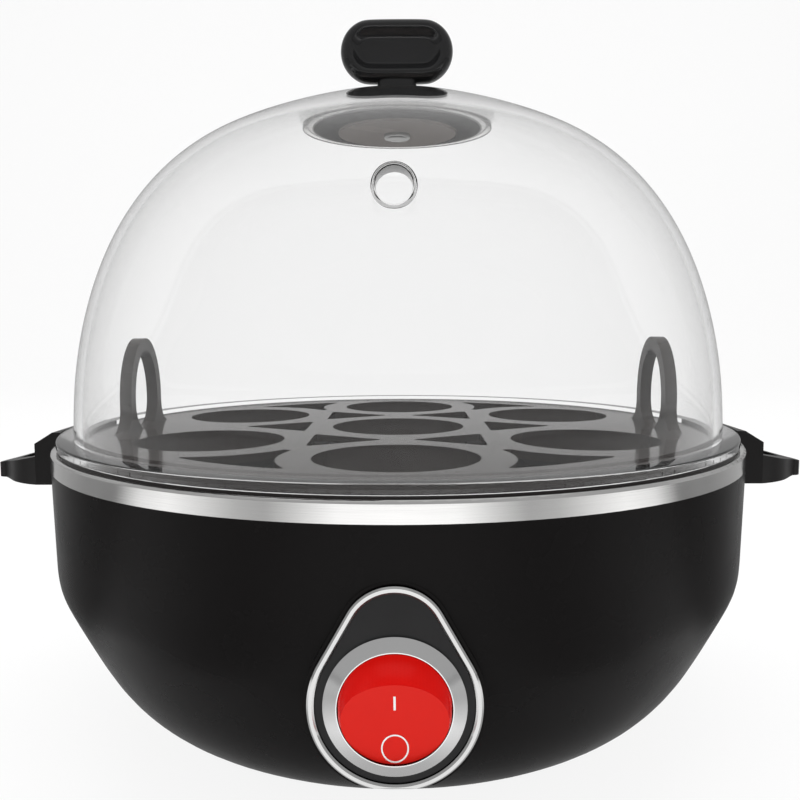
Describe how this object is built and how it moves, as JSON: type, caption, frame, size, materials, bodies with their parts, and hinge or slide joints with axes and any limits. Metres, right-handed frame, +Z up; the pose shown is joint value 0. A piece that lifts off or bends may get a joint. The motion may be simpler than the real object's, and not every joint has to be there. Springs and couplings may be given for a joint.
{
  "type": "electric egg cooker",
  "caption": "Electric egg steamer: bowl base with ears and a rocker switch in a teardrop panel, lift-out seat tray with arch handles, clear domed lid with a flat knob.",
  "frame": {"origin": "on the axis of the bowl, on the table plane under the feet", "axes": "+Z up, +Y to the back so that the switch faces -Y, +X through the right ear"},
  "size_m": [0.196, 0.1669, 0.161],
  "materials": {
    "housing_black": "satin moulding",
    "cover_black": "fine texture",
    "foot_rubber": "matt",
    "screw_steel": "plated",
    "band_steel": "polished band",
    "deck_black": "gloss moulding",
    "seal_rubber": "silicone",
    "dish_coat": "non-stick coat",
    "coil_steel": "oxidised",
    "stat_metal": "plain",
    "fuse_sleeve": "woven sleeve",
    "block_white": "plain",
    "gland_black": "matt",
    "panel_black": "satin",
    "trim_chrome": "bright",
    "bezel_chrome": "bright",
    "switch_black": "plain",
    "contact_brass": "plain",
    "rocker_red": "translucent red",
    "plunger_white": "plain",
    "lead_brown": "insulation",
    "lead_blue": "insulation",
    "lead_white": "insulation",
    "tray_black": "gloss moulding",
    "lid_clear": "clear moulding",
    "knob_black": "high gloss",
    "cap_smoke": "smoked clear moulding"
  },
  "bodies": {
    "base": {"base_housing": "housing_black", "bottom_cover": "cover_black", "feet": "foot_rubber", "cover_screws": "screw_steel", "trim_band": "band_steel", "top_deck": "deck_black", "dish_gasket": "seal_rubber", "heating_dish": "dish_coat", "dish_nuts": "screw_steel", "heating_coil": "coil_steel", "thermostat": "stat_metal", "thermostat_strap": "screw_steel", "thermal_fuse": "fuse_sleeve", "terminal_block": "block_white", "cord_gland": "gland_black", "right_ear": "housing_black", "left_ear": "housing_black", "ear_screws": "screw_steel", "switch_panel": "panel_black", "panel_trim": "trim_chrome", "switch_bezel": "bezel_chrome", "switch_body": "switch_black", "switch_blades": "contact_brass", "lead_live": "lead_brown", "lead_switched": "lead_brown", "lead_neutral": "lead_blue", "lead_link": "lead_white"},
    "tray": {"egg_tray": "tray_black"},
    "lid": {"lid_dome": "lid_clear", "lid_knob": "knob_black", "crown_cap": "cap_smoke", "knob_screw": "screw_steel"},
    "rocker_body": {"rocker": "rocker_red", "switch_plunger": "plunger_white"},
    "lever": {"contact_lever": "contact_brass"}
  },
  "joints": [
    {"name": "tray_lift", "type": "slide", "parent": "base", "child": "tray", "axis": [0, 0, 1], "range_m": [0, 0.04]},
    {"name": "lid_lift", "type": "slide", "parent": "tray", "child": "lid", "axis": [0, 0, 1], "range_m": [0, 0.06]},
    {"name": "rocker_press", "type": "hinge", "parent": "base", "child": "rocker_body", "pos_m": [0, -0.0772, 0.0317], "axis": [-1, 0, 0], "range_deg": [0, 37]},
    {"name": "lever_tip", "type": "hinge", "parent": "base", "child": "lever", "pos_m": [0, -0.0696, 0.0317], "axis": [-1, 0, 0], "range_deg": [-16, 0]}
  ],
  "couplings": [
    {"joint": "lever_tip", "follows": "rocker_press", "ratio": -0.4324}
  ]
}
